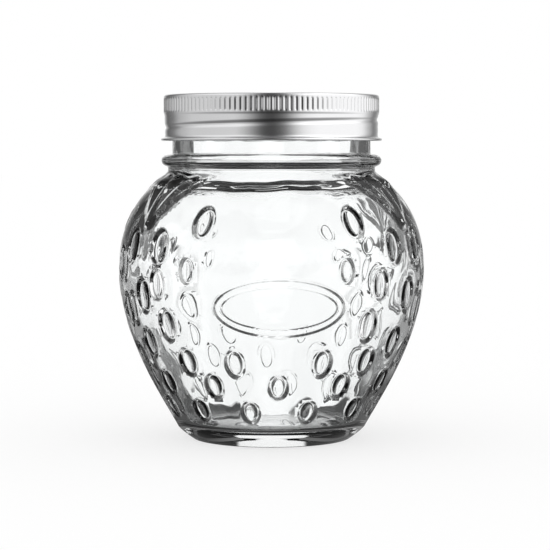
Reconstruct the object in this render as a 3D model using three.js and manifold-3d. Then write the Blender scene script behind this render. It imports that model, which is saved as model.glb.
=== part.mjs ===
// A glass preserve jar in the shape of a strawberry, with its two-part metal closure:
// a flat lid disc held down by a screw band. Millimetres, +Z up. The origin is the middle of
// the base, on the surface the jar stands on, and the smooth front panel faces -Y.
import * as THREE from 'three';
import { mergeVertices } from 'three/addons/utils/BufferGeometryUtils.js';
import Module from 'manifold-3d';

const wasm = await Module();
wasm.setup();

// ---- driving dimensions, mm and degrees ----
const AROUND = 36;              // facets round every turned piece
const GAP = 0.3;                // clearance between pieces that touch

const BASE_INNER = 23.6;        // flat bearing ring that the jar stands on
const BASE_OUTER = 26.8;
const PUSH_UP = 2.4;            // height of the hollow under the base
const HEEL = { r: 31.9, z: 4.2 };          // top of the rounded heel
const BELLY = { r: 51.75, z: 57.8 };        // widest place of the body
const NECK_FOOT = { r: 35.1, z: 90.6 };    // where the shoulder meets the neck
const BEAD = { r: 37.2, z: 94.1, half: 2.3 };   // round transfer bead on the neck
const FINISH_R = 33.6;          // outside of the finish, above the bead
const RIM_Z = 114.9;            // top of the glass
const BORE_R = 30.2;            // inside of the mouth
const WALL = 3.1;               // glass at the belly
const SHOULDER_EXTRA = 1.9;     // how much thicker it grows in the shoulder, between two heights
const THICKENING = { from: 66, to: 82 };
const NECK_CORNER_Z = 85;       // where the bore opens into the body
const BROW = { out: 4.4, down: 1.7 };      // the inside runs out this flat, then turns down
const WALL_TOP_Z = 82.6;        // where the turn ends and the inside follows the outside
const FLOOR_Z = 5.4;            // inside of the base, at its corner
const FLOOR_CROWN = 1.2;        // the floor rises this much towards its middle
const FLOOR_R = 22;             // where the floor turns up into the wall

const SEED_DEPTH = 0.95;        // groove round each moulded seed
const SEED_SINK = 0.1;          // a seed's ridge lies this far under the surface round it
const SEPAL_LIFT = 0.8;         // edges of the calyx leaves stand this far proud of the shoulder
const RIB_LIFT = 1.3;           // and their middle ribs this far
const FRAME_LIFT = 0.5;         // plain oval frame on the front panel
const FRAME = { width: 44, height: 20, line: 1.3, z: 47.5 };

const BAND_TOP = 116.4;         // screw band, rolled from tinplate
const BAND_SHEET = 0.4;
const BAND_OPENING = 31;        // radius of the opening in its top
const BAND_R = 36.45;           // over the gripping zone under its top edge
const HEM = { r: 37.3, z: 101.2, half: 0.75 };  // curled lower edge

const DISC_R = 34;              // lid disc that seals on the glass rim
const DISC_SHEET = 0.5;
const DISC_PANEL = { r: 28.2, drop: 0.9 };      // sunken middle panel

// ---- geometry helpers ----
const radians = THREE.MathUtils.degToRad;

// A closed mesh of a geometry, as a solid that can be joined and cut. Triangles that shrink to
// a line, as where a section runs out into a point, are left out.
function solid(geometry) {
  const bare = geometry.index ? geometry.toNonIndexed() : geometry.clone();
  bare.deleteAttribute('normal');
  bare.deleteAttribute('uv');
  const merged = mergeVertices(bare, 1e-4);
  const corners = merged.index.array;
  const kept = [];
  for (let i = 0; i < corners.length; i += 3) {
    const triangle = corners.slice(i, i + 3);
    if (new Set(triangle).size === 3) kept.push(...triangle);
  }
  return new wasm.Manifold(new wasm.Mesh({
    numProp: 3,
    vertProperties: new Float32Array(merged.attributes.position.array),
    triVerts: new Uint32Array(kept),
  }));
}

function toGeometry(manifold) {
  const mesh = manifold.getMesh();
  const geometry = new THREE.BufferGeometry();
  geometry.setAttribute('position', new THREE.BufferAttribute(mesh.vertProperties, 3));
  geometry.setIndex(new THREE.BufferAttribute(mesh.triVerts, 1));
  geometry.computeVertexNormals();
  return geometry;
}

// Skins rows of points that each go once round a section, and closes both ends.
function loft(rows) {
  const positions = [];
  const add = (...corners) => corners.forEach((p) => positions.push(p.x, p.y, p.z));
  const round = rows[0].length;
  for (let i = 0; i + 1 < rows.length; i += 1) {
    for (let k = 0; k < round; k += 1) {
      const [a, b] = [rows[i][k], rows[i][(k + 1) % round]];
      const [c, d] = [rows[i + 1][k], rows[i + 1][(k + 1) % round]];
      add(a, c, b);
      add(b, c, d);
    }
  }
  for (let k = 1; k + 1 < round; k += 1) {
    add(rows[0][0], rows[0][k], rows[0][k + 1]);
    add(rows.at(-1)[0], rows.at(-1)[k + 1], rows.at(-1)[k]);
  }
  const geometry = new THREE.BufferGeometry();
  geometry.setAttribute('position', new THREE.Float32BufferAttribute(positions, 3));
  return geometry;
}

// Turns an outline of (radius, height) points about +Z. The outline runs up on its outside.
function turned(outline, around = AROUND) {
  const points = outline.map(([r, z]) => new THREE.Vector2(Math.max(r, 0), z));
  return new THREE.LatheGeometry(points, around).rotateX(Math.PI / 2);
}

// Points of a cubic curve that leaves `from` along `leave` and reaches `to` along `arrive`.
function sweep(from, leave, arrive, to, steps) {
  const [a, b, c, d] = [from, leave, arrive, to].map(([r, z]) => new THREE.Vector2(r, z));
  return new THREE.CubicBezierCurve(a, b, c, d).getPoints(steps).map((p) => [p.x, p.y]);
}

// Drops points that repeat the one before them.
function joined(...stretches) {
  return stretches.flat().filter(([r, z], i, all) => i === 0
    || Math.hypot(r - all[i - 1][0], z - all[i - 1][1]) > 1e-3);
}

// ---- outside of the glass, from the bearing ring to the neck ----
const heelCurve = sweep([BASE_OUTER, 0], [28.9, 0.3], [30.9, 2.2], [HEEL.r, HEEL.z], 2);
const FLANK = [[HEEL.r, HEEL.z], [37.2, 14], [BELLY.r, 35], [BELLY.r, BELLY.z]];
const SHOULDER = [[BELLY.r, BELLY.z], [BELLY.r, 80.2], [38, 87.3], [NECK_FOOT.r, NECK_FOOT.z]];
const bodyOutside = joined(sweep(...FLANK, 5), sweep(...SHOULDER, 5));

// Radius of the outside at a height, with the shoulder's last stretch carried on above the foot
// of the neck.
function outsideRadius(z) {
  const above = bodyOutside.findIndex((p) => p[1] >= z);
  const i = above < 0 ? bodyOutside.length - 1 : Math.max(1, above);
  const [[r0, z0], [r1, z1]] = [bodyOutside[i - 1], bodyOutside[i]];
  return THREE.MathUtils.mapLinear(z, z0, z1, r0, r1);
}

// How far the outside leans back from upright at a height, in radians.
function outsideLean(z) {
  const reach = 1.5;
  return Math.atan2(outsideRadius(z - reach) - outsideRadius(z + reach), 2 * reach);
}

// The same outline moved outwards, square to itself, by a lift that is a function of height.
function raised(outline, lift) {
  return outline.map(([r, z], i) => {
    const [before, after] = [outline[Math.max(i - 1, 0)], outline[Math.min(i + 1, outline.length - 1)]];
    const [dr, dz] = [after[0] - before[0], after[1] - before[1]];
    const scale = lift(z) / Math.hypot(dr, dz);
    return [r + scale * dz, z - scale * dr];
  });
}

// Places a solid drawn in x (across), y (up the glass) and z (outwards) on the body.
function onBody(manifold, azimuth, z, roll = 0, lean = outsideLean(z)) {
  const [side, r] = [radians(azimuth), outsideRadius(z)];
  const place = new THREE.Matrix4()
    .makeTranslation(r * Math.sin(side), -r * Math.cos(side), z)
    .multiply(new THREE.Matrix4().makeRotationZ(side))
    .multiply(new THREE.Matrix4().makeRotationX(Math.PI / 2 - lean))
    .multiply(new THREE.Matrix4().makeRotationZ(radians(roll)));
  return manifold.transform(place.elements);
}

// ---- moulded seeds ----
// Seeds of one half of the mould, from the heel up: height, azimuth from the front on both
// sides, how far the row is turned, how far its seeds lean, and their size against the rest.
// The other half is the same, turned by 180 degrees.
const SEED_ROWS = [
  { z: 12.6, at: [14.5, 42.4, 68] },
  { z: 21.4, at: [0, 29.3, 57.4, 90] },
  { z: 29.2, at: [18, 39.5, 73] },
  { z: 34.8, at: [57], turn: -3 },
  { z: 37.5, at: [90] },
  { z: 41, at: [41], turn: -5 },
  { z: 45, at: [72.5] },
  { z: 50.3, at: [57.7] },
  { z: 52, at: [90] },
  { z: 54.4, at: [44.5], turn: -4.4, size: 0.86 },
  { z: 59.2, at: [29.7], turn: -5, size: 0.72 },
  { z: 60, at: [78] },
  { z: 66.5, at: [48.2, 66.2] },
  { z: 74.7, at: [29.3, 90], roll: 18, size: 0.86 },
];
const SEED_SIDES = 8;

// Outer size of a seed's groove: it grows from the heel to the belly, as on the fruit.
function seedSize(z, size) {
  const grown = THREE.MathUtils.smoothstep(z, HEEL.z, BELLY.z);
  const [width, height] = [THREE.MathUtils.lerp(6.6, 8.4, grown), THREE.MathUtils.lerp(9.2, 12.8, grown)];
  return { width: width * size, height: height * size };
}

// An oval dimple that leaves the seed standing in it: the cutter's rings run from above the
// glass, over the dimple's rim, down to the seed's foot and up again to the seed's ridge.
function seedCutter({ width, height }) {
  const rings = [[1.3, 1.3, 1], [1, 1, 0], [0.6, 0.66, -SEED_DEPTH], [0, 0.34, -SEED_SINK]];
  return solid(loft(rings.map(([across, along, depth]) => Array.from({ length: SEED_SIDES }, (_, i) => {
    const angle = (i + 0.5) * 2 * Math.PI / SEED_SIDES;
    const end = across === 0 ? Math.sign(Math.sin(angle)) : Math.sin(angle);
    return new THREE.Vector3(across * width / 2 * Math.cos(angle), along * height / 2 * end, depth);
  }))));
}

function seedPlaces() {
  const places = [];
  for (const { z, at, turn = 0, roll = 0, size = 1 } of SEED_ROWS) {
    for (const half of [0, 180]) {
      for (const azimuth of at) {
        const middle = azimuth % 90 === 0;
        for (const side of middle ? [1] : [-1, 1]) {
          const lean = middle ? 0 : -side * roll;
          places.push({ z, azimuth: half + turn + side * azimuth, lean, extent: seedSize(z, size) });
        }
      }
    }
  }
  return places;
}

// ---- calyx leaves on the shoulder ----
const SEPAL_AZIMUTHS = [57.5, -57.5, 122.5, -122.5];   // none over the front and back panels
const SEPAL_REACH = 22;           // from foot to tip, in height
const SEPAL_FOOT_Z = 91.2;        // buried in the neck, so that the leaf grows out of it
const SEPAL_FOOT_WIDTH = 32.4;
const TIP_FADE = 0.7;             // share of the lift that is lost at the tip

// A pointed leaf, lofted down the shoulder from the neck: broad at its foot, drawn in to its tip.
// Its cross-section rises from the edges to the middle rib, is sunk in the glass below, and
// sinks nearly flush at the tip.
function sepal() {
  const stations = 3;
  const section = [[-1, -1.2], [-1, SEPAL_LIFT], [-0.5, SEPAL_LIFT + 0.2], [0, RIB_LIFT],
    [0.5, SEPAL_LIFT + 0.2], [1, SEPAL_LIFT], [1, -1.2], [0, -1.2]];
  const rows = Array.from({ length: stations + 1 }, (_, i) => {
    const along = i / stations;
    const half = SEPAL_FOOT_WIDTH / 2 * (1 - along) ** 1.35 + 0.35;
    const z = SEPAL_FOOT_Z - SEPAL_REACH * along;
    const fade = 1 - TIP_FADE * along ** 3;
    return section.map(([across, lift]) => onSkin(across * half, z, lift > 0 ? lift * fade : lift));
  });
  return solid(loft(rows));
}

// A point on the front of the body, x across, at a height, lifted square off the surface.
function onSkin(x, z, lift) {
  const [r, lean] = [outsideRadius(z), outsideLean(z)];
  const [out, up] = [r + lift * Math.cos(lean), z + lift * Math.sin(lean)];
  const side = x / r;
  return new THREE.Vector3(out * Math.sin(side), -out * Math.cos(side), up);
}

// Stands a flat outline on the body: the outline is cut out of a thin shell that follows the
// glass, from under its surface up to the lift.
function moulded(shape, lift, { z, steps }) {
  const [root, near, depth] = [1.2, 25, 40];
  const cutter = new THREE.ExtrudeGeometry(shape, { depth, bevelEnabled: false, curveSegments: steps });
  cutter.rotateX(Math.PI / 2).translate(0, -near, z);
  const [outer, inner] = [raised(bodyOutside, () => lift), raised(bodyOutside, () => -root)];
  const shell = [...outer, ...inner.reverse(), outer[0]];
  return solid(turned(shell)).intersect(solid(cutter));
}

// ---- the jar ----
function jarOutline() {
  const bore = [BORE_R, RIM_Z - 1];
  const base = sweep([0, PUSH_UP], [12, PUSH_UP], [20, 1.6], [BASE_INNER, 0], 2);
  const foot = [NECK_FOOT.r, BEAD.z - BEAD.half];
  const bead = sweep(foot, [BEAD.r + 0.9, foot[1]], [BEAD.r + 0.9, BEAD.z + BEAD.half],
    [FINISH_R, BEAD.z + BEAD.half], 3);
  const rim = [[FINISH_R, RIM_Z - 0.8], [FINISH_R - 0.7, RIM_Z], [BORE_R + 0.8, RIM_Z], bore];
  const brow = [[BORE_R, NECK_CORNER_Z], [BORE_R + BROW.out, NECK_CORNER_Z - BROW.down]];
  const wall = (height) => WALL
    + SHOULDER_EXTRA * THREE.MathUtils.smoothstep(height, THICKENING.from, THICKENING.to);
  const body = joined(sweep(...FLANK, 4), sweep(...SHOULDER, 4));
  const inside = raised(body, (height) => -wall(height)).slice(1)
    .filter((p) => p[1] < WALL_TOP_Z).reverse();
  const [r, z] = inside.at(-1);
  const floor = sweep([r, z], [r - 2.3, z - 4.6], [FLOOR_R + 5.5, FLOOR_Z], [FLOOR_R, FLOOR_Z], 2);
  return joined(base, heelCurve, bodyOutside, bead, rim, brow, inside, floor,
    [[0, FLOOR_Z + FLOOR_CROWN]]);
}

function buildJar() {
  let glass = solid(turned(jarOutline()));
  for (const azimuth of SEPAL_AZIMUTHS) {
    glass = glass.add(sepal().rotate([0, 0, azimuth]));
  }
  const oval = new THREE.Shape().absellipse(0, 0, FRAME.width / 2, FRAME.height / 2, 0, Math.PI * 2);
  oval.holes.push(new THREE.Path().absellipse(0, 0, FRAME.width / 2 - FRAME.line,
    FRAME.height / 2 - FRAME.line, 0, Math.PI * 2));
  glass = glass.add(moulded(oval, FRAME_LIFT, { z: FRAME.z, steps: 7 }));
  for (const { z, azimuth, lean, extent } of seedPlaces()) {
    glass = glass.subtract(onBody(seedCutter(extent), azimuth, z, lean));
  }
  return toGeometry(glass);
}

// ---- the closure ----
function buildBand() {
  const [step, waist] = [BAND_R - 0.4, BAND_R - 0.75];
  const shell = [[BAND_OPENING, BAND_TOP], [BAND_R - 1.2, BAND_TOP], [BAND_R, BAND_TOP - 1.3],
    [BAND_R, 110.4], [step, 109.6], [step, 107.4], [step - 0.6, 106.2], [step, 104.4], [waist, 102.6],
    [HEM.r, HEM.z + 0.4], [HEM.r - 0.1, HEM.z - HEM.half], [waist - BAND_SHEET, HEM.z - HEM.half]];
  const inside = [[waist - BAND_SHEET, 102.6], [step - BAND_SHEET - 0.6, 106.2],
    [step - BAND_SHEET, BAND_TOP - 1.5], [BAND_R - 1.4, BAND_TOP - BAND_SHEET],
    [BAND_OPENING, BAND_TOP - BAND_SHEET]];
  return turned([shell[0], ...inside.reverse(), ...shell.reverse()]);
}

function buildDisc() {
  const top = BAND_TOP - BAND_SHEET - GAP;
  const { r, drop } = DISC_PANEL;
  const under = [[0, top - drop - DISC_SHEET], [r, top - drop - DISC_SHEET], [r + 1, top - DISC_SHEET]];
  const over = [[DISC_R, top - DISC_SHEET], [DISC_R, top], [r + 1, top], [r, top - drop], [0, top - drop]];
  return turned([...under, ...over]);
}

// ---- materials and the group ----
const glass = new THREE.MeshStandardMaterial({
  color: 0xeef4f3, roughness: 0.03, metalness: 0, transparent: true, opacity: 0.35,
});
const tinplate = new THREE.MeshStandardMaterial({ color: 0xb9bbbd, roughness: 0.35, metalness: 1 });
const lacqueredTinplate = new THREE.MeshStandardMaterial({
  color: 0xc4c6c8, roughness: 0.28, metalness: 1,
});

function named(name, geometry, material) {
  const mesh = new THREE.Mesh(geometry, material);
  mesh.name = name;
  return mesh;
}

const group = new THREE.Group();
group.add(named('jar', buildJar(), glass));
group.add(named('lid_disc', buildDisc(), lacqueredTinplate));
group.add(named('screw_band', buildBand(), tinplate));
export default group;
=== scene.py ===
# Looks of a strawberry-shaped glass preserve jar with a flat lid disc and a rolled screw band.
# The jar is worked out in millimetres and turned to metres where a mesh is made. Azimuths are in
# degrees from the front, to the right. The studio round the jar is in metres.
import math

import bpy
import numpy as np
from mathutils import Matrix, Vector


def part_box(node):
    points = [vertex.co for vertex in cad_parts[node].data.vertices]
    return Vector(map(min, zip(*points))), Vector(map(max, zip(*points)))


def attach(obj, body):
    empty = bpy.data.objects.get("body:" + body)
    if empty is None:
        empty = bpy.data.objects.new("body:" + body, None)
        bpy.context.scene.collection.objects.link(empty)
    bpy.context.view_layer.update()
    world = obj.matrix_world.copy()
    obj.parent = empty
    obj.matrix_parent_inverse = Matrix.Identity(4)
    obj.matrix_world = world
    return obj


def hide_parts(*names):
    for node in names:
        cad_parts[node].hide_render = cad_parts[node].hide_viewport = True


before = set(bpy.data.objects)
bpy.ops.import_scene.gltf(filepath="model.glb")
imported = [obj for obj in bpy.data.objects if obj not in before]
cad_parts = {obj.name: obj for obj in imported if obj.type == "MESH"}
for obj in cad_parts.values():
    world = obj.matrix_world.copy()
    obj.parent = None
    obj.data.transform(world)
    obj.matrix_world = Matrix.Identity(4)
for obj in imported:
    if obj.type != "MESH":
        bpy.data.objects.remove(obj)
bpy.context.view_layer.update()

MM = 0.001
# the highest corners of the CAD's pieces
jar_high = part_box("jar")[1] / MM
band_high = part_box("screw_band")[1] / MM
disc_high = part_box("lid_disc")[1] / MM

# ---- the glass, mm: driving dimensions ----
BELLY_R = jar_high.x                            # widest place of the body
RIM_Z = jar_high.z                              # top of the glass
BASE_INNER, BASE_OUTER = 23.6, 26.8             # flat bearing ring
PUSH_UP = 2.4                                   # hollow under the base
HEEL = (31.9, 4.2)                              # radius and height of the heel's top
BELLY = (BELLY_R, 57.8)                         # radius and height of the widest place
NECK_FOOT = (35.1, 90.6)                        # radius and height where the shoulder ends
BEAD_Z, BEAD_R, BEAD_HALF = 94.35, 37.2, 2.1    # transfer bead: height, radius, half its thickness
FINISH_R, BORE_R = 33.6, 30.2                   # outside and inside of the neck
WALL = 3.1                                      # at the belly
SHOULDER_EXTRA, BASE_EXTRA = 1.2, 0.8           # and how much thicker it is above and below
NECK_CORNER = 85                                # height where the bore opens into the body
FLOOR_Z, FLOOR_CROWN, FLOOR_R = 5.8, 0.7, 22    # the floor inside, its rise and its flat radius
GLASS_STEPS = 216                               # steps round the jar
OUTSIDE_SKIN = 1.2                              # points less deep than this belong to the outside
WELD = 0.002                                    # points closer than this become one

# ---- small helpers ----


def clear_selection():
    bpy.ops.object.select_all(action="DESELECT")


def select_only(piece):
    clear_selection()
    piece.select_set(True)
    bpy.context.view_layer.objects.active = piece


def smooth(x, low, high):
    """0 below low, 1 above high, and an even rise between."""
    t = np.clip((x - low) / (high - low), 0, 1)
    return t * t * (3 - 2 * t)


def curve(start, leave, arrive, end, steps):
    """Points of a cubic curve from start to end, the start left out."""
    t = np.linspace(0, 1, steps + 1)[1:, None]
    points = [np.array(p, float) for p in (start, leave, arrive, end)]
    weights = ((1 - t) ** 3, 3 * t * (1 - t) ** 2, 3 * t * t * (1 - t), t ** 3)
    return [tuple(p) for p in sum(w * p for w, p in zip(weights, points))]


def evenly(points, step):
    """The same line with points at equal distances of about step."""
    line = np.array(points, float)
    run = np.concatenate([[0], np.cumsum(np.hypot(*np.diff(line, axis=0).T))])
    places = np.linspace(0, run[-1], max(2, round(run[-1] / step)) + 1)
    return list(zip(np.interp(places, run, line[:, 0]), np.interp(places, run, line[:, 1])))


def spun(name, outline, steps):
    """Turns an outline of (radius, height) once round the upright axis."""
    mesh = bpy.data.meshes.new(name)
    points = [(max(r, 0) * MM, 0, z * MM) for r, z in outline]
    mesh.from_pydata(points, [(i, i + 1) for i in range(len(points) - 1)], [])
    piece = bpy.data.objects.new(name, mesh)
    bpy.context.scene.collection.objects.link(piece)
    select_only(piece)
    bpy.ops.object.mode_set(mode="EDIT")
    bpy.ops.mesh.select_all(action="SELECT")
    bpy.ops.mesh.spin(steps=steps, angle=math.tau, center=(0, 0, 0), axis=(0, 0, 1))
    bpy.ops.mesh.select_all(action="SELECT")
    bpy.ops.mesh.remove_doubles(threshold=WELD * MM)
    bpy.ops.mesh.normals_make_consistent(inside=False)
    bpy.ops.object.mode_set(mode="OBJECT")
    return piece


def smooth_all(piece):
    piece.data.polygons.foreach_set("use_smooth", np.ones(len(piece.data.polygons), bool))


def use(piece, *materials):
    for material in materials:
        piece.data.materials.append(material)


def points_of(piece):
    """The piece's points in mm, as an array."""
    flat = np.empty(len(piece.data.vertices) * 3)
    piece.data.vertices.foreach_get("co", flat)
    return flat.reshape(-1, 3) / MM


def put_points(piece, points):
    piece.data.vertices.foreach_set("co", (points * MM).ravel())
    piece.data.update()


def azimuth_of(points):
    return np.degrees(np.arctan2(points[:, 0], -points[:, 1]))


def round_axis(points):
    """Azimuth, radius and height of points."""
    return azimuth_of(points), np.hypot(points[:, 0], points[:, 1]), points[:, 2]


def from_round(azimuth, r, z):
    """Points at azimuths, radii and heights."""
    side = np.radians(azimuth)
    return np.stack([r * np.sin(side), -r * np.cos(side), z], axis=-1)


def turn_between(a, b):
    """Smallest turn from b to a, in degrees."""
    return (np.asarray(a) - b + 180) % 360 - 180


# ---- the outside of the body, as a surface to draw on ----
# A place on it is an azimuth and a run, the distance along its outline from the heel up.
flank = curve(HEEL, (37.2, 14), (BELLY_R, 35), BELLY, 200)
shoulder = curve(BELLY, (BELLY_R, 80.2), (38, 87.3), NECK_FOOT, 200)
body_line = np.array([HEEL, *flank, *shoulder])
body_run = np.concatenate([[0], np.cumsum(np.hypot(*np.diff(body_line, axis=0).T))])
body_slope = np.gradient(body_line, body_run, axis=0)


def run_at(z):
    """Distance along the body's outline from the heel to a height."""
    return np.interp(z, body_line[:, 1], body_run)


def radius_at(run):
    return np.interp(run, body_run, body_line[:, 0])


def square_off(run):
    """Outward and upward parts of the direction square to the body."""
    return (np.interp(run, body_run, body_slope[:, 1]),
            -np.interp(run, body_run, body_slope[:, 0]))


def on_body(azimuth, run, lift):
    """Points on the body, lifted square off the glass."""
    out, up = square_off(run)
    z = np.interp(run, body_run, body_line[:, 1])
    return from_round(azimuth, radius_at(run) + lift * out, z + lift * up)


# ---- moulded seeds: where they are and their relief ----
# Seeds of one half of the mould, from the heel up: height, azimuths on both sides of the front,
# how far the row is turned, how far its seeds lean in at the top, and their size. The other half
# is the same, turned by 180 degrees, and its middle seeds are shallower.
SEED_ROWS = [
    (12.6, (14.5, 42.4, 68), 1, 0, 1), (21.4, (0, 29.3, 57.4, 90), 0, 0, 1),
    (29.2, (18, 39.5, 73), 0, 0, 1), (34.8, (57,), -3, 0, 1), (37.5, (90,), 0, 0, 1),
    (41, (41,), -5, 0, 1), (45, (72.5,), 0, 0, 1), (50.3, (57.7,), 0, 0, 1), (52, (90,), 0, 0, 1),
    (54.4, (44.5,), -4.4, 0, 0.86), (59.2, (29.7,), -5, 0, 0.72), (60, (78,), 0, 0, 1),
    (66.5, (48.2, 66.2), 0, 0, 1), (74.7, (29.3, 90), 0, 9, 0.95),
]
SEED_SIZE = (6.6, 9.2)              # across and along, at the heel
SEED_GROWTH = (1.8, 3.6)            # and how much larger at the belly
FULL_WIDTH = SEED_SIZE[0] + SEED_GROWTH[0]      # width of a seed that has the full relief
BACK_MIDDLE, BACK_DEPTH = 62, 0.55  # the back's middle seeds: up to this azimuth, this deep
# Relief of a seed from its dimple's brink to its own middle: size across, size along, lift.
SEED_RELIEF = [
    (1.08, 1.06, 0), (1.02, 1.02, -0.05), (0.97, 0.98, -0.16), (0.92, 0.94, -0.33),
    (0.86, 0.9, -0.55), (0.79, 0.86, -0.76), (0.72, 0.82, -0.92), (0.66, 0.785, -0.96),
    (0.61, 0.76, -0.88), (0.57, 0.74, -0.68), (0.53, 0.72, -0.4), (0.49, 0.7, -0.18),
    (0.43, 0.66, -0.06), (0.33, 0.57, 0.02), (0.17, 0.38, 0.09),
]


def seed_places():
    """Every seed, as its azimuth, run, extent across and along, lean and depth."""
    places = []
    for z, azimuths, turn, roll, size in SEED_ROWS:
        grown = size * float(smooth(z, HEEL[1], BELLY[1]))
        extent = tuple(size * low + more * grown for low, more in zip(SEED_SIZE, SEED_GROWTH))
        run = float(run_at(z))
        for half in (0, 180):
            for azimuth in azimuths:
                middle = azimuth % 90 == 0
                depth = BACK_DEPTH if half and azimuth < BACK_MIDDLE else 1
                for side in (1,) if middle else (-1, 1):
                    lean = 0 if middle else side * roll
                    places.append((half + turn + side * azimuth, run, extent, lean, depth))
    return places


def seed_frame(azimuths, runs, seed):
    """Coordinates across and along a seed, in mm, of points given by azimuth and run."""
    azimuth, run, _, lean, _ = seed
    across = np.radians(turn_between(azimuths, azimuth)) * radius_at(run)
    along = np.asarray(runs) - run
    c, s = math.cos(math.radians(lean)), math.sin(math.radians(lean))
    return across * c + along * s, along * c - across * s


def seed_point(across, along, seed):
    """The azimuth and run of points given across and along a seed."""
    azimuth, run, _, lean, _ = seed
    c, s = math.cos(math.radians(lean)), math.sin(math.radians(lean))
    side, up = across * c - along * s, along * c + across * s
    return azimuth + np.degrees(side / radius_at(run)), run + up


# ---- calyx leaves ----
SEPALS = [(57.5, 1), (-57.5, 1), (112, 0.5), (-112, 0.5)]   # azimuth, relief
SEPAL_REACH = 24                    # from the neck down to the tip
SEPAL_HALF = 17.6                   # half the width at the neck
SEPAL_LIFT = 0.8                    # how far the blade stands off the shoulder
RIB_LIFT, RIB_HALF = 0.75, 1.2      # the middle rib
VEIN_LIFT, VEIN_WAVES = 0.05, 1.75  # the veins: lift for each mm of half width, waves to the edge
VEIN_START = 1.8                    # and how far they keep from the rib
# Where a leaf rises, in mm: in from its edge, up from its tip, down from the neck, and its veins,
# in from its edge.
EDGE_RISE, TIP_RISE, ROOT_RISE, VEIN_RISE = (-0.2, 0.7), (0, 1.5), (0.2, 7), (0.5, 2.5)


def sepal_lift(azimuths, runs):
    """How far the leaves stand off the shoulder."""
    lift = np.zeros(len(azimuths))
    down = body_run[-1] - runs
    half = SEPAL_HALF * (1 - np.clip(down / SEPAL_REACH, 0, 1)) + 0.1
    length = smooth(SEPAL_REACH - down, *TIP_RISE) * smooth(down, *ROOT_RISE)
    for azimuth, relief in SEPALS:
        across = np.radians(turn_between(azimuths, azimuth)) * radius_at(runs)
        inside = half - np.abs(across)
        blade = smooth(inside, *EDGE_RISE) * length
        rib = RIB_LIFT * np.exp(-(across / RIB_HALF) ** 2)
        veins = VEIN_LIFT * half * np.cos(across / half * math.tau * VEIN_WAVES)
        veins *= (1 - np.exp(-(across / VEIN_START) ** 2)) * smooth(inside, *VEIN_RISE)
        lift = np.maximum(lift, relief * blade * (SEPAL_LIFT + rib + veins))
    return lift


# ---- the plain oval frame on the front panel: a raised line and a finer one inside it ----
FRAME_Z, FRAME_HALF = 47.5, (22, 10)                # height of its middle, half width and height
FRAME_LINES = [(0.5, 1.0, 0.8), (2.9, 0.8, 0.6)]    # how far in, width, lift
FRAME_SIDE = 60                                     # further to the side there is no frame
FRAME_MESHED = (-0.8, 4)                            # how far in from its edge faces are finer


def frame_gap(azimuths, runs):
    """Rough distance in from the frame's outer edge, in mm."""
    across = np.radians(turn_between(azimuths, 0)) * radius_at(run_at(FRAME_Z))
    along = runs - run_at(FRAME_Z)
    reach = np.hypot(across / FRAME_HALF[0], along / FRAME_HALF[1])
    steep = np.hypot(across / FRAME_HALF[0] ** 2, along / FRAME_HALF[1] ** 2) + 1e-6
    return np.where(abs(across) < FRAME_SIDE, (1 - reach) * reach / steep, -FRAME_SIDE)


def frame_lift(azimuths, runs):
    gap = frame_gap(azimuths, runs)
    lift = np.zeros(len(gap))
    for middle, width, high in FRAME_LINES:
        half = width / 2
        lift += high * (1 - smooth(abs(gap - middle), half - 0.3, half + 0.05))
    return lift


# ---- the glass piece ----


def jar_outline():
    """The section of the glass, from the middle of its base round to the middle of its floor."""
    base = [(0, PUSH_UP), *curve((0, PUSH_UP), (12, PUSH_UP), (20, 1.6), (BASE_INNER, 0.12), 6)]
    ring = [(BASE_INNER + 0.5, 0), (BASE_OUTER - 0.5, 0)]
    heel = curve((BASE_OUTER, 0.03), (27.6, 0.6), (30.4, 2.4), HEEL, 8)
    body = evenly(body_line, 1.35)
    foot = BEAD_Z - BEAD_HALF
    top = foot + 2 * BEAD_HALF
    fillet = [(NECK_FOOT[0], foot - 0.3)]
    bead = curve((NECK_FOOT[0], foot), (BEAD_R + 0.6, foot), (BEAD_R + 1.5, top),
                 (FINISH_R, top), 16)
    finish = evenly([(FINISH_R, top + 0.4), (FINISH_R, RIM_Z - 1.2)], 0.9)
    lip = curve((FINISH_R, RIM_Z - 1.1), (FINISH_R, RIM_Z), (FINISH_R - 0.2, RIM_Z),
                (FINISH_R - 1.1, RIM_Z), 5)
    rim = [(BORE_R + 1, RIM_Z), *curve((BORE_R + 1, RIM_Z), (BORE_R, RIM_Z), (BORE_R, RIM_Z - 0.3),
                                      (BORE_R, RIM_Z - 1.2), 5)]
    bore = evenly([(BORE_R, RIM_Z - 2), (BORE_R, NECK_CORNER + 1.8)], 3)
    inside = inner_wall()
    low_r, low_z = inside[-1]
    floor = curve((low_r, low_z), (low_r - 1.3, low_z - 2.6), (FLOOR_R + 5, FLOOR_Z),
                  (FLOOR_R, FLOOR_Z), 8)
    crown = curve((FLOOR_R, FLOOR_Z), (14, FLOOR_Z), (8, FLOOR_Z + FLOOR_CROWN),
                  (0, FLOOR_Z + FLOOR_CROWN), 4)
    return [*base, *ring, (BASE_OUTER, 0.03), *heel, *body[1:], *fillet, *bead, *finish, *lip, *rim,
            *bore, *inside, *floor, *crown]


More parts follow.
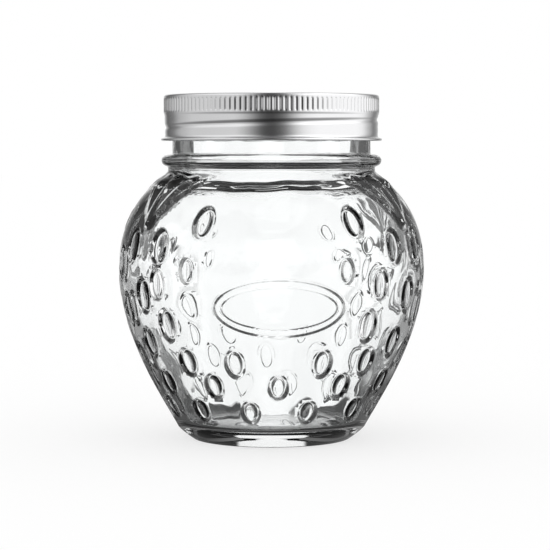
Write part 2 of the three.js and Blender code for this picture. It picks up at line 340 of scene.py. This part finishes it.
def inner_wall():
    """The inside of the body, a wall's thickness in from the outside, from the bore down."""
    normal = np.stack([body_slope[:, 1], -body_slope[:, 0]], axis=1)
    wall = WALL + SHOULDER_EXTRA * smooth(body_line[:, 1], 66, 84)
    wall += BASE_EXTRA * (1 - smooth(body_line[:, 1], 10, 52))
    line = body_line - wall[:, None] * normal
    line = line[(line[:, 1] > 9) & (line[:, 1] < NECK_CORNER - 2.15)][::-1]
    corner = curve((BORE_R, NECK_CORNER + 1.2), (BORE_R, NECK_CORNER),
                   (BORE_R + 0.2, NECK_CORNER - 0.1), (BORE_R + 1.2, NECK_CORNER - 0.5), 5)
    brow = curve(corner[-1], (BORE_R + 3, NECK_CORNER - 1.25),
                 (line[0][0] - 0.8, line[0][1] + 0.9), line[0], 6)
    return [*corner, *brow, *evenly(line, 2.4)[1:]]


# How far the inside strays from its outline, mm. It follows the mould only roughly.
BROAD_WAVE, FINE_WAVES = 0.06, (0.035, 0.03)    # round the whole body
SIDE_GAIN, SIDE_WAVE = 1.6, 0.015               # stronger fine waves at the sides, and one more
LOW_WAVE = 0.07                                 # short waves near the floor
SEED_BULGE, BULGE_HALF = 0.25, (4.6, 6)         # behind each seed, and how wide and long
BORE_WAVES = (0.03, 0.012)                      # in the neck
BROW_WAVES = (0.3, 0.22, 0.12)                  # up and down where the bore opens into the body


def between(x, start, full, fading, end):
    """1 from full to fading, 0 outside start and end, and even slopes between."""
    return smooth(x, start, full) * (1 - smooth(x, fading, end))


def body_push(turn, run, z):
    """How far the inside of the body is pushed in, apart from what lies behind the seeds."""
    sides = SIDE_GAIN * smooth(abs(np.sin(turn)), 0.55, 0.85)
    fine = FINE_WAVES[0] * np.sin(17 * turn - run / 3.2 + 1.1)
    fine += FINE_WAVES[1] * np.cos(11 * turn + run / 2.7 + 0.4)
    low = LOW_WAVE * np.sin(13 * turn + run / 1.5) * np.cos(21 * turn - run / 2.1)
    return (BROAD_WAVE * np.sin(5 * turn + run / 5.3) * np.cos(run / 4.1 - 2 * turn)
            + (1 + sides) * fine + sides * SIDE_WAVE * np.sin(29 * turn + run / 6)
            + low * (1 - smooth(z, 16, 38)))


def inner_ripple(piece):
    """Makes the inside wavy, and bulges it behind each seed."""
    azimuth, r, z = round_axis(points_of(piece))
    run, turn = run_at(z), np.radians(azimuth)
    inner = r < radius_at(run) - OUTSIDE_SKIN
    push = body_push(turn, run, z)
    for seed in seed_places():
        across, along = seed_frame(azimuth, run, seed)
        push += SEED_BULGE * np.exp(-((across / BULGE_HALF[0]) ** 2 + (along / BULGE_HALF[1]) ** 2))
    bore = BORE_WAVES[0] * np.sin(19 * turn + z / 7)
    bore += BORE_WAVES[1] * np.sin(37 * turn - z / 5 + 0.8)
    bore *= (r < BORE_R + 0.1) * between(z, NECK_CORNER + 1, NECK_CORNER + 5, RIM_Z - 4, RIM_Z - 2)
    brow = BROW_WAVES[0] * np.sin(3 * turn + 0.9) + BROW_WAVES[1] * np.sin(8 * turn + 0.3)
    brow += BROW_WAVES[2] * np.sin(19 * turn)
    brow *= inner * between(z, 78, 81.5, 84.6, 86) * (1 - smooth(abs(np.sin(turn)), 0.4, 0.62))
    r = r + bore - push * inner * between(z, 9, 14, 79, 83) * (r > BORE_R)
    put_points(piece, from_round(azimuth, r, z + brow))


def select_faces(piece, chosen):
    """Leaves exactly the chosen faces selected, and the piece in edit mode."""
    mesh = piece.data
    edges = np.zeros(len(mesh.edges), bool)
    points = np.zeros(len(mesh.vertices), bool)
    mesh.vertices.foreach_set("select", points)
    mesh.edges.foreach_set("select", edges)
    mesh.polygons.foreach_set("select", chosen)
    bpy.ops.object.mode_set(mode="EDIT")
    bpy.ops.mesh.select_mode(type="FACE")


def body_places(points):
    """Azimuth and run of points, and whether they lie on the outside of the body."""
    azimuth, r, z = round_axis(points)
    run = run_at(z)
    outside = (z > HEEL[1] + 0.3) & (z < NECK_FOOT[1] + 0.01) & (r > radius_at(run) - OUTSIDE_SKIN)
    return azimuth, run, outside


def face_places(piece):
    """The same of the middle of every face."""
    centres = np.empty(len(piece.data.polygons) * 3)
    piece.data.polygons.foreach_get("center", centres)
    return body_places(centres.reshape(-1, 3) / MM)


BLOCK_EDGE = 1.15                   # plain glass round a dimple that is meshed with it, mm
BLOCK_APART = (14, 20)              # across and along: blocks further apart than this can't touch
BLOCK_SIDES = 20                    # a face with more sides than this is a block
RING_INSET = 0.01                   # small, as every new ring is then moved to its own place
BODY_R = 45                         # rough radius of the body, to tell which seed is nearest


def groups_apart(seeds):
    """Shares the seeds out in groups, so that no two blocks of one group touch."""
    groups = []
    for seed in seeds:
        for group in groups:
            gaps = [seed_frame(other[0], other[1], seed) for other in group]
            if all(abs(across) > BLOCK_APART[0] or abs(along) > BLOCK_APART[1]
                   for across, along in gaps):
                group.append(seed)
                break
        else:
            groups.append([seed])
    return groups


def merge_block(piece, seeds):
    """Makes one many-sided face of the grid faces under each seed."""
    azimuth, run, outside = face_places(piece)
    chosen = np.zeros(len(azimuth), bool)
    for seed in seeds:
        width, height = seed[2]
        across, along = seed_frame(azimuth, run, seed)
        chosen |= outside & (np.hypot(across / (width / 2 + BLOCK_EDGE),
                                      along / (height / 2 + BLOCK_EDGE)) < 1)
    select_faces(piece, chosen)
    bpy.ops.mesh.dissolve_faces()
    bpy.ops.object.mode_set(mode="OBJECT")


def mould_seeds(piece):
    """Moulds a dimple with a seed in it into the grid of faces, at each place."""
    seeds = seed_places()
    for group in groups_apart(seeds):
        merge_block(piece, group)
    sides = np.array([len(face.vertices) for face in piece.data.polygons])
    select_faces(piece, sides > BLOCK_SIDES)
    for size_across, size_along, lift in SEED_RELIEF:
        bpy.ops.mesh.inset(thickness=RING_INSET * MM, use_individual=True)
        bpy.ops.object.mode_set(mode="OBJECT")
        shape_rings(piece, seeds, size_across, size_along, lift)
        bpy.ops.object.mode_set(mode="EDIT")
    bpy.ops.mesh.poke()
    bpy.ops.object.mode_set(mode="OBJECT")


def shape_rings(piece, seeds, size_across, size_along, lift):
    """Moves the newest ring of points round each seed to its oval and its depth."""
    mesh = piece.data
    places = np.array([seed[:2] for seed in seeds])
    for face in (f for f in mesh.polygons if f.select):
        corners = list(face.vertices)
        points = np.array([mesh.vertices[i].co for i in corners]) / MM
        azimuth, run = azimuth_of(points), run_at(points[:, 2])
        middle = float(azimuth_of(points.mean(axis=0)[None])[0])
        gaps = np.hypot(np.radians(turn_between(places[:, 0], middle)) * BODY_R,
                        places[:, 1] - run.mean())
        seed = seeds[int(np.argmin(gaps))]
        (width, height), depth = seed[2], seed[4] * seed[2][0] / FULL_WIDTH
        across, along = seed_frame(azimuth, run, seed)
        angle = np.unwrap(np.arctan2(along / height, across / width))
        whole = math.copysign(math.tau, angle[-1] - angle[0])
        even = np.linspace(0, whole, len(angle), endpoint=False)
        angle = even + (angle - even).mean()
        azimuth, run = seed_point(size_across * width / 2 * np.cos(angle),
                                  size_along * height / 2 * np.sin(angle), seed)
        for i, place in zip(corners, on_body(azimuth, run, lift * depth) * MM):
            mesh.vertices[i].co = place


def finer(piece, wanted, cuts):
    """Divides the faces that the test wants, and rounds the new points onto the body."""
    azimuth, run, outside = face_places(piece)
    select_faces(piece, outside & wanted(azimuth, run))
    bpy.ops.mesh.subdivide(number_cuts=cuts)
    bpy.ops.object.mode_set(mode="OBJECT")
    points = points_of(piece)
    azimuth, run, outside = body_places(points)
    points[outside] = on_body(azimuth, run, 0)[outside]
    put_points(piece, points)


def near_frame(azimuth, run):
    gap = frame_gap(azimuth, run)
    return (gap > FRAME_MESHED[0]) & (gap < FRAME_MESHED[1])


def on_sepals(azimuth, run):
    return sepal_lift(azimuth, run) > 0.1


def build_glass():
    piece = spun("glass_jar", jar_outline(), GLASS_STEPS)
    use(piece, flint_glass())
    inner_ripple(piece)
    finer(piece, near_frame, 4)
    finer(piece, on_sepals, 1)
    mould_seeds(piece)
    points = points_of(piece)
    azimuth, run, outside = body_places(points)
    lift = (sepal_lift(azimuth, run) + frame_lift(azimuth, run)) * outside
    out, up = square_off(run)
    put_points(piece, points + from_round(azimuth, out * lift, up * lift))
    smooth_all(piece)
    return piece


# ---- the screw band, mm: one sheet of tinplate, rolled to shape and then given its thickness ----
SHEET = 0.3                         # thickness
BAND_TOP = band_high.z
BAND_R = 36.45                      # over the gripping zone
BAND_OPENING = 31                   # radius of the hole in its top
HEM_R, HEM_Z = 37.3, 101.2          # outside and middle of the curled lower edge
CURL_R = 0.45                       # radius of the curl
WALL_END = 102.9                    # height where the wall turns out to the hem
SLOTS, SLOT_STEPS = 128, 6          # slots round the gripping zone, and steps of the sheet for each
SLOT_LOW, SLOT_HIGH = 110.5, 115.1  # where they start and end
# The steps of one slot, brink, edge and floor on both sides: across from its middle, and depth.
SLOT_ACROSS = [-0.68, -0.56, -0.13, 0.13, 0.56, 0.68]
SLOT_DEPTHS = [0, 0, 0.28, 0.28, 0, 0]
THREAD_Z, THREAD_PITCH = 106.75, 5.5    # groove at the front, and its rise for one turn
GROOVE_DEPTH, GROOVE_HALF = 0.42, 0.75
# A fainter groove runs this far below it, only on the side round this azimuth.
FAINT_BELOW, FAINT_DEPTH, FAINT_HALF, FAINT_AZIMUTH = 2.4, 0.07, 0.7, 70


def band_outline():
    """The outer face of the sheet, from the opening in the top out and down to the curled hem."""
    lip = curve((BAND_OPENING, BAND_TOP - 1.1), (BAND_OPENING, BAND_TOP - 0.3),
                (BAND_OPENING + 0.1, BAND_TOP), (BAND_OPENING + 1, BAND_TOP), 5)
    top = evenly([(BAND_OPENING + 1.2, BAND_TOP), (BAND_R - 1.5, BAND_TOP)], 1)
    corner = curve((BAND_R - 1.4, BAND_TOP), (BAND_R - 0.3, BAND_TOP), (BAND_R, BAND_TOP - 0.3),
                   (BAND_R, BAND_TOP - 1.2), 5)
    grip = [(BAND_R, z) for z in (SLOT_HIGH + 0.1, SLOT_HIGH - 0.25, SLOT_HIGH - 0.6,
                                  *np.linspace(SLOT_HIGH - 1.2, SLOT_LOW + 1.2, 3),
                                  SLOT_LOW + 0.6, SLOT_LOW + 0.25, SLOT_LOW - 0.1)]
    wall_r = BAND_R - 0.45
    wall = evenly([(BAND_R - 0.05, SLOT_LOW - 0.4), (BAND_R - 0.25, 109.4), (BAND_R - 0.35, 106),
                   (BAND_R - 0.35, 104.4), (wall_r, WALL_END)], 0.36)
    hem = curve((wall_r, WALL_END - 0.3), (wall_r, 101.9), (HEM_R - 0.6, 101.9),
                (HEM_R - 0.3, 101.75), 4)
    curl = [(HEM_R - 0.3 + CURL_R * math.sin(a), HEM_Z + 0.1 + CURL_R * math.cos(a))
            for a in np.radians([20, 60, 100, 140, 180, 220, 260])]
    return [*lip, *top, *corner, *grip, *wall, *hem, *curl]


def press_slots(azimuth, z):
    """Where the steps of the sheet go to make the slots: their azimuths and their depths."""
    pitch = 360 / SLOTS
    place = np.round(azimuth / pitch * SLOT_STEPS).astype(int)
    corner = place % SLOT_STEPS
    middle = ((place - corner) + (SLOT_STEPS - 1) / 2) / SLOT_STEPS * pitch
    slot = between(z, SLOT_LOW, SLOT_LOW + 0.45, SLOT_HIGH - 0.45, SLOT_HIGH)
    return (middle + np.degrees(np.choose(corner, SLOT_ACROSS) / BAND_R),
            np.choose(corner, SLOT_DEPTHS) * slot)


def thread_depth(azimuth, r, z):
    """Depth of the groove that is rolled round the wall, and of the fainter one below it."""
    above = z - (THREAD_Z + THREAD_PITCH * turn_between(azimuth, 0) / 360)
    groove = GROOVE_DEPTH * np.exp(-(above / GROOVE_HALF) ** 2)
    faint = FAINT_DEPTH * np.exp(-((above + FAINT_BELOW) / FAINT_HALF) ** 2)
    faint *= smooth(np.abs(turn_between(azimuth, FAINT_AZIMUTH)), 90, 50)
    wall = between(z, WALL_END - 0.1, WALL_END + 0.7, SLOT_LOW - 0.6, SLOT_LOW - 0.2)
    return (groove + faint) * wall * (r > BAND_R - 1)


def build_band():
    piece = spun("screw_band_rolled", band_outline()[::-1], SLOTS * SLOT_STEPS)
    use(piece, tinplate("tinplate_rolled", 0.14, 12), lacquer())
    azimuth, r, z = round_axis(points_of(piece))
    azimuth, pressed = press_slots(azimuth, z)
    put_points(piece, from_round(azimuth, r - pressed - thread_depth(azimuth, r, z), z))
    thicken(piece, SHEET)
    smooth_all(piece)
    return piece


def thicken(piece, thickness):
    """Gives a sheet its thickness, on the inside."""
    select_only(piece)
    solid = piece.modifiers.new("sheet", "SOLIDIFY")
    solid.thickness, solid.offset, solid.material_offset = thickness * MM, -1, 1
    bpy.ops.object.modifier_apply(modifier="sheet")


# ---- the lid disc, mm: a pressed sheet with a raised ring and a sunken panel ----
DISC_TOP = disc_high.z
DISC_R = disc_high.x
# From the edge inwards: radius, and depth under the top. The ring seals on the glass, a gutter
# runs inside it, and the panel has a low ring of its own.
DISC_PROFILE = [
    (DISC_R, 0.45), (DISC_R - 0.1, 0.1), (DISC_R - 0.5, 0), (29.6, 0), (29.1, 0.08), (28.6, 0.35),
    (28.2, 0.7), (27.8, 0.86), (27.2, 0.9), (24.6, 0.9), (24.2, 0.84), (23.8, 0.68), (23.4, 0.62),
    (22.4, 0.6), (12, 0.55), (11.4, 0.5), (10.8, 0.32), (10, 0.26), (5, 0.2), (0, 0.18),
]
DISC_STEPS = 180                    # steps round the disc


def build_disc():
    outline = [(r, DISC_TOP - depth) for r, depth in DISC_PROFILE]
    piece = spun("lid_disc_pressed", outline, DISC_STEPS)
    use(piece, tinplate("tinplate_pressed", 0.16, 1), lacquer())
    thicken(piece, SHEET)
    smooth_all(piece)
    return piece


# ---- materials ----


def linear(code):
    """A colour's sRGB hex value as linear light."""
    parts = [int(code[i:i + 2], 16) / 255 for i in (1, 3, 5)]
    return (*[p / 12.92 if p <= 0.04045 else ((p + 0.055) / 1.055) ** 2.4 for p in parts], 1)


def add_node(tree, kind, links=(), **settings):
    """Adds a node: settings by socket name or attribute, links as (input, source, output)."""
    node = tree.nodes.new(kind)
    for key, value in settings.items():
        name = key.replace("_", " ")
        if name in node.inputs:
            node.inputs[name].default_value = value
        else:
            setattr(node, key, value)
    for socket, source, output in links:
        tree.links.new(source.outputs[output], node.inputs[socket])
    return node


def feed(tree, node, terms):
    """Fills sockets. A term is a number, a node for its first output, or (node, output)."""
    for socket, term in terms.items():
        if isinstance(term, (int, float)):
            node.inputs[socket].default_value = term
        else:
            source, output = term if isinstance(term, tuple) else (term, 0)
            tree.links.new(source.outputs[output], node.inputs[socket])
    return node


def maths(tree, operation, *terms):
    return feed(tree, add_node(tree, "ShaderNodeMath", operation=operation), dict(enumerate(terms)))


def blend(tree, share, low, high):
    """A number that is low where the share is 0 and high where it is 1."""
    mix = add_node(tree, "ShaderNodeMix", data_type="FLOAT")
    return feed(tree, mix, {0: share, 2: low, 3: high})


def slope(tree, term, low, high, bottom=0.0, top=1.0):
    """An even rise from bottom to top as the term goes from low to high."""
    rise = add_node(tree, "ShaderNodeMapRange", interpolation_type="SMOOTHSTEP")
    return feed(tree, rise, {"Value": term, "From Min": low, "From Max": high,
                             "To Min": bottom, "To Max": top})


def new_material(name):
    material = bpy.data.materials.new(name)
    material.use_nodes = True
    material.node_tree.nodes.clear()
    return material, material.node_tree


def coat_of(name, **settings):
    """A material that is the same all over."""
    material, tree = new_material(name)
    shader = add_node(tree, "ShaderNodeBsdfPrincipled", **settings)
    add_node(tree, "ShaderNodeOutputMaterial", [("Surface", shader, "BSDF")])
    return material


def flint_glass():
    """Pressed soda-lime flint glass, fire-polished: colourless, glossy, clear."""
    return coat_of("flint_glass_pressed", Base_Color=linear("#FDFEFE"), Roughness=0.0, IOR=1.5,
                   Transmission_Weight=1.0)


def lacquer():
    """Grey epoxy lacquer baked on the inside of the tinplate: dull and even."""
    return coat_of("lacquer_inside", Base_Color=linear("#1C1C1E"), Roughness=0.5, IOR=1.5)


STREAK_SCALE = 60                   # larger is finer


def tinplate(name, roughness, streak):
    """Tin-coated steel sheet under clear lacquer: bright and neutral, with fine rolling streaks.

    The streaks are streak times as fine upwards as they are sideways.
    """
    material, tree = new_material(name)
    place = add_node(tree, "ShaderNodeTexCoord")
    stretch = add_node(tree, "ShaderNodeMapping", [(0, place, "Object")],
                       Scale=(STREAK_SCALE, STREAK_SCALE, STREAK_SCALE * streak))
    grain = add_node(tree, "ShaderNodeTexNoise", [(0, stretch, 0)], Scale=18.0, Detail=4.0)
    gloss = add_node(tree, "ShaderNodeMapRange", [(0, grain, 0)],
                     To_Min=roughness * 0.75, To_Max=roughness * 1.25)
    bump = add_node(tree, "ShaderNodeBump", [("Height", grain, 0)],
                    Strength=0.12, Distance=0.02 * MM)
    shader = add_node(tree, "ShaderNodeBsdfPrincipled",
                      [("Roughness", gloss, 0), ("Normal", bump, 0)],
                      Base_Color=linear("#EDEDEE"), Metallic=1.0)
    add_node(tree, "ShaderNodeOutputMaterial", [("Surface", shader, "BSDF")])
    return material


# ---- the studio, m ----
# White cards that only light through the glass can see, softboxes that metal and glass mirror, and
# a dark room between them.
CAMERA_SIDE = -3                    # degrees round from the front, the same for the cards
CARD_LEVEL = 1.1                    # brightness of the white cards
WHITE = linear("#FFFFFF")

# What metal and glass mirror, by azimuth: a dark gap in front between two softboxes, the left one
# dimmer, and a dark room behind them up to the bright backdrop.
MIRRORED = [
    (-180, 1), (-168, 0.6), (-153, 0.12), (-133, 0.22), (-119, 0.48), (-107, 0.57), (-97, 0.66),
    (-42, 0.72), (-35, 0.62), (-28, 0.46), (-22, 0.3), (-15, 0.13), (-9, 0.07), (-2, 0.055),
    (4, 0.09), (11, 0.18), (17, 0.38), (24, 0.67), (30, 0.87), (37, 1), (48, 1.1), (100, 1.1),
    (111, 1), (123, 0.6), (139, 0.22), (150, 0.3), (165, 0.6), (180, 1),
]


def turn_round(tree, place):
    """The parts of a place or a direction, and its azimuth in radians."""
    parts = add_node(tree, "ShaderNodeSeparateXYZ", [(0, place, 0)])
    front = maths(tree, "MULTIPLY", (parts, "Y"), -1)
    return parts, maths(tree, "ARCTAN2", (parts, "X"), front)


def from_card(tree, azimuth, apart):
    """The turn away from the nearest card's middle, where the cards are apart degrees apart."""
    facing = maths(tree, "ADD", azimuth, math.radians(-CAMERA_SIDE))
    return maths(tree, "PINGPONG", facing, math.radians(apart / 2))


def bright_cards(tree, azimuth, apart, half, soft):
    """1 on white cards round the jar, each half degrees to either side, and 0 between."""
    folded = from_card(tree, azimuth, apart)
    return slope(tree, folded, math.radians(half + soft), math.radians(half - soft))


def softboxes(tree, azimuth):
    """The brightness that is mirrored from an azimuth."""
    turn = maths(tree, "MULTIPLY_ADD", azimuth, 1 / math.tau, 0.5)
    boxes = add_node(tree, "ShaderNodeValToRGB", [(0, turn, 0)])
    ramp = boxes.color_ramp.elements
    for element, (_, level) in zip((ramp[0], ramp[1]), (MIRRORED[0], MIRRORED[-1])):
        element.color = (level, level, level, 1)
    for degrees, level in MIRRORED[1:-1]:
        ramp.new(degrees / 360 + 0.5).color = (level, level, level, 1)
    return boxes


# Bright cards painted on the floor, painted light that only rays through the glass see: degrees
# from one to the next, half width, softness of the edge, and the distances from the axis where they
# start and are full; nearer the axis they stay dark, painted contact shadow under the jar.
PAINTED_FLOOR_CARDS = [(180, 15, 3, 0.027, 0.032), (180, 30, 6, 0.065, 0.08), (90, 18, 6, 0.09, 0.12)]
# The strip is painted light as well: a bright band glowing in the floor behind the axis.
STRIP_EDGE = (0.0105, 0.009)                # half width of a bright strip behind the axis
STRIP_START = (0.002, -0.002)               # and where it starts
# Painted shade on the floor apart from the cards, darkest near the jar as a contact shadow, each as
# distances and the levels there: seen through the glass, out from the axis and ahead of it, and how
# much of the softboxes it passes on when mirrored.
FLOOR_SHADE_OUT = (0.06, 0.13, 0.07, 0.38)
FLOOR_SHADE_AHEAD = (0.03, 0.14, 0, 0.9)
FLOOR_SHADE_MIRRORED = (0.12, 0.5, 0.25, 1)
FLOOR_GLOW = 0.7                            # share of its own light, against what falls on it
FLOOR_SIZE = 12


def painted_floor_cards(tree, azimuth, reach):
    """1 on the bright cards painted on the floor, painted light, and 0 between them and near the
    axis, painted contact shadow.
    """
    sector = None
    for apart, half, soft, starts, full in PAINTED_FLOOR_CARDS:
        card = bright_cards(tree, azimuth, apart, half, soft)
        # 0 near the axis: painted contact shadow under the jar.
        clear = slope(tree, reach, starts, full)
        lit = maths(tree, "MULTIPLY", card, clear)
        sector = maths(tree, "MAXIMUM", sector, lit) if sector else lit
    return sector


def build_floor():
    """The pale floor. To mirrored rays and rays through the glass it shows painted light and shade:
    bright cards and a strip glowing in it, dark near the jar.
    """
    clear_selection()
    bpy.ops.mesh.primitive_plane_add(size=FLOOR_SIZE, location=(0, 0, 0))
    floor = bpy.context.object
    floor.name = "floor"
    bpy.ops.object.transform_apply(location=True, rotation=True, scale=True)
    material, tree = new_material("pale_floor")
    place = add_node(tree, "ShaderNodeTexCoord")
    spot = add_node(tree, "ShaderNodeMapping", [(0, place, "Object")])
    reach = (add_node(tree, "ShaderNodeVectorMath", [(0, spot, 0)], operation="LENGTH"), "Value")
    _, azimuth = turn_round(tree, spot)
    # Painted light for rays through the glass: bright cards and a strip glowing in the floor.
    sector = painted_floor_cards(tree, azimuth, reach)
    across = maths(tree, "MULTIPLY", maths(tree, "SINE", azimuth), reach)
    strip = slope(tree, maths(tree, "ABSOLUTE", across), *STRIP_EDGE)
    ahead = maths(tree, "MULTIPLY", maths(tree, "COSINE", azimuth), reach)
    far_strip = maths(tree, "MULTIPLY", strip, slope(tree, ahead, *STRIP_START))
    both = maths(tree, "MAXIMUM", sector, far_strip)
    bright = slope(tree, both, 0, 1, 0, CARD_LEVEL)
    # Painted contact shadow: away from the cards the floor is dark near the jar, and lighter out
    # from it and toward the camera.
    painted_floor_shade = maths(tree, "MAXIMUM", slope(tree, reach, *FLOOR_SHADE_OUT),
                    slope(tree, ahead, *FLOOR_SHADE_AHEAD))
    through = maths(tree, "MAXIMUM", bright, painted_floor_shade)
    path = add_node(tree, "ShaderNodeLightPath")
    boxes = softboxes(tree, azimuth)
    # As mirrored, the floor glows with the softboxes' pattern, painted light, darkened near the
    # jar, painted shadow.
    boxes_under_painted_shade = maths(tree, "MULTIPLY", boxes, slope(tree, reach, *FLOOR_SHADE_MIRRORED))
    mirrored = blend(tree, (path, "Is Glossy Ray"), 1, boxes_under_painted_shade)
    level = blend(tree, (path, "Is Transmission Ray"), mirrored, through)
    diffuse = add_node(tree, "ShaderNodeBsdfDiffuse", Color=WHITE)
    plain = add_node(tree, "ShaderNodeEmission", [("Strength", level, 0)], Color=WHITE)
    seen = maths(tree, "MAXIMUM", (path, "Is Transmission Ray"), (path, "Is Glossy Ray"))
    pale = add_node(tree, "ShaderNodeMixShader", [(1, diffuse, 0), (2, plain, 0)], Fac=FLOOR_GLOW)
    mix = add_node(tree, "ShaderNodeMixShader", [(0, seen, 0), (1, pale, 0), (2, plain, 0)])
    add_node(tree, "ShaderNodeOutputMaterial", [("Surface", mix, 0)])
    use(floor, material)


SCREEN_R, SCREEN_TOP, SCREEN_LIFT = 0.24, 0.4, 0.0005   # radius, height, gap to the floor
# By height on the screen: half width of the cards in degrees, where they end at the top, the room
# between them, and where that room starts.
SCREEN_CARDS = (0.055, 0.085, math.radians(11.5), math.radians(18.5))
SCREEN_CARDS_TOP = (0.26, 0.23)
SCREEN_ROOM = (0.17, 0.1, 0.03, 0.07)
SCREEN_ROOM_LOW = (0.075, 0.085)
SCREEN_SOFT = math.radians(1.5)             # how softly the cards end to the sides


def build_screen():
    """White cards close round the jar, which only light that has come through the glass can see."""
    clear_selection()
    bpy.ops.mesh.primitive_cylinder_add(
        vertices=128, radius=SCREEN_R, depth=SCREEN_TOP, end_fill_type="NOTHING",
        location=(0, 0, SCREEN_TOP / 2 + SCREEN_LIFT))
    screen = bpy.context.object
    screen.name = "card_screen"
    bpy.ops.object.transform_apply(location=True, rotation=True, scale=True)
    material, tree = new_material("card_screen")
    material.cycles.emission_sampling = "NONE"
    place = add_node(tree, "ShaderNodeTexCoord")
    spot = add_node(tree, "ShaderNodeMapping", [(0, place, "Object")])
    parts, azimuth = turn_round(tree, spot)
    height = (parts, "Z")
    past = maths(tree, "SUBTRACT", from_card(tree, azimuth, 90), slope(tree, height, *SCREEN_CARDS))
    cards = slope(tree, past, SCREEN_SOFT, -SCREEN_SOFT)
    shown = maths(tree, "MULTIPLY", cards, slope(tree, height, *SCREEN_CARDS_TOP))
    shine = slope(tree, shown, 0, 1, 0, CARD_LEVEL)
    level = maths(tree, "MAXIMUM", slope(tree, height, *SCREEN_ROOM), shine)
    card = add_node(tree, "ShaderNodeEmission", [("Strength", level, 0)], Color=WHITE)
    clear = add_node(tree, "ShaderNodeBsdfTransparent")
    path = add_node(tree, "ShaderNodeLightPath")
    there = maths(tree, "MAXIMUM", shown, slope(tree, height, *SCREEN_ROOM_LOW))
    seen = maths(tree, "MULTIPLY", there, (path, "Is Transmission Ray"))
    mix = add_node(tree, "ShaderNodeMixShader", [(0, seen, 0), (1, clear, 0), (2, card, 0)])
    add_node(tree, "ShaderNodeOutputMaterial", [("Surface", mix, 0)])
    use(screen, material)


# The world, by the upward part of a direction: the ceiling above the softboxes, and how much
# brighter they are up there.
CEILING, CEILING_LEVEL = (0.85, 0.97), 0.2
BOXES_HIGHER = (0.2, 0.55, 1, 1.35)
DARK_ROOM = 0.02                            # what light through the glass sees past the screen


def build_world():
    """White to the camera, the softboxes to what mirrors, and dark to light through the glass."""
    world = bpy.data.worlds.new("studio")
    bpy.context.scene.world = world
    world.use_nodes = True
    tree = world.node_tree
    tree.nodes.clear()
    path = add_node(tree, "ShaderNodeLightPath")
    place = add_node(tree, "ShaderNodeTexCoord")
    direction = add_node(tree, "ShaderNodeMapping", [(0, place, "Generated")])
    parts, azimuth = turn_round(tree, direction)
    height = (parts, "Z")
    raised = maths(tree, "MULTIPLY", softboxes(tree, azimuth), slope(tree, height, *BOXES_HIGHER))
    above = blend(tree, slope(tree, height, *CEILING), raised, CEILING_LEVEL)
    mirrored = blend(tree, (path, "Is Glossy Ray"), 1, above)
    # a ray bent through glass counts as glossy too, so it is told apart last
    lit = blend(tree, (path, "Is Transmission Ray"), mirrored, DARK_ROOM)
    glow = add_node(tree, "ShaderNodeBackground", [("Strength", lit, 0)], Color=WHITE)
    add_node(tree, "ShaderNodeOutputWorld", [("Surface", glow, 0)])


# ---- camera, mm ----
CAMERA_AWAY, CAMERA_EYE = 700, 98.4         # distance from the axis, and height
CAMERA_AIM = (1.2, 0, 55.28)
CAMERA_LENS, CAMERA_SENSOR = 134.8, 36
CAMERA_NEAR = 0.01                          # nearest thing that is shown, m


def build_camera():
    camera = bpy.data.objects.new("camera", bpy.data.cameras.new("camera"))
    bpy.context.scene.collection.objects.link(camera)
    bpy.context.scene.camera = camera
    side = math.radians(CAMERA_SIDE)
    camera.location = Vector((CAMERA_AWAY * math.sin(side), -CAMERA_AWAY * math.cos(side),
                              CAMERA_EYE)) * MM
    aim = Vector(CAMERA_AIM) * MM
    camera.rotation_euler = (aim - camera.location).to_track_quat("-Z", "Y").to_euler()
    camera.data.lens = CAMERA_LENS
    camera.data.sensor_width = CAMERA_SENSOR
    camera.data.clip_start = CAMERA_NEAR


# ---- the pieces, each with the CAD node that it stands for ----
glass_jar = build_glass()
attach(glass_jar, "root")
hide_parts("jar")

screw_band = build_band()
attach(screw_band, "root")
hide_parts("screw_band")

lid_disc = build_disc()
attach(lid_disc, "root")
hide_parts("lid_disc")

build_floor()
build_screen()
build_world()
build_camera()
bpy.context.scene.view_settings.view_transform = "Standard"
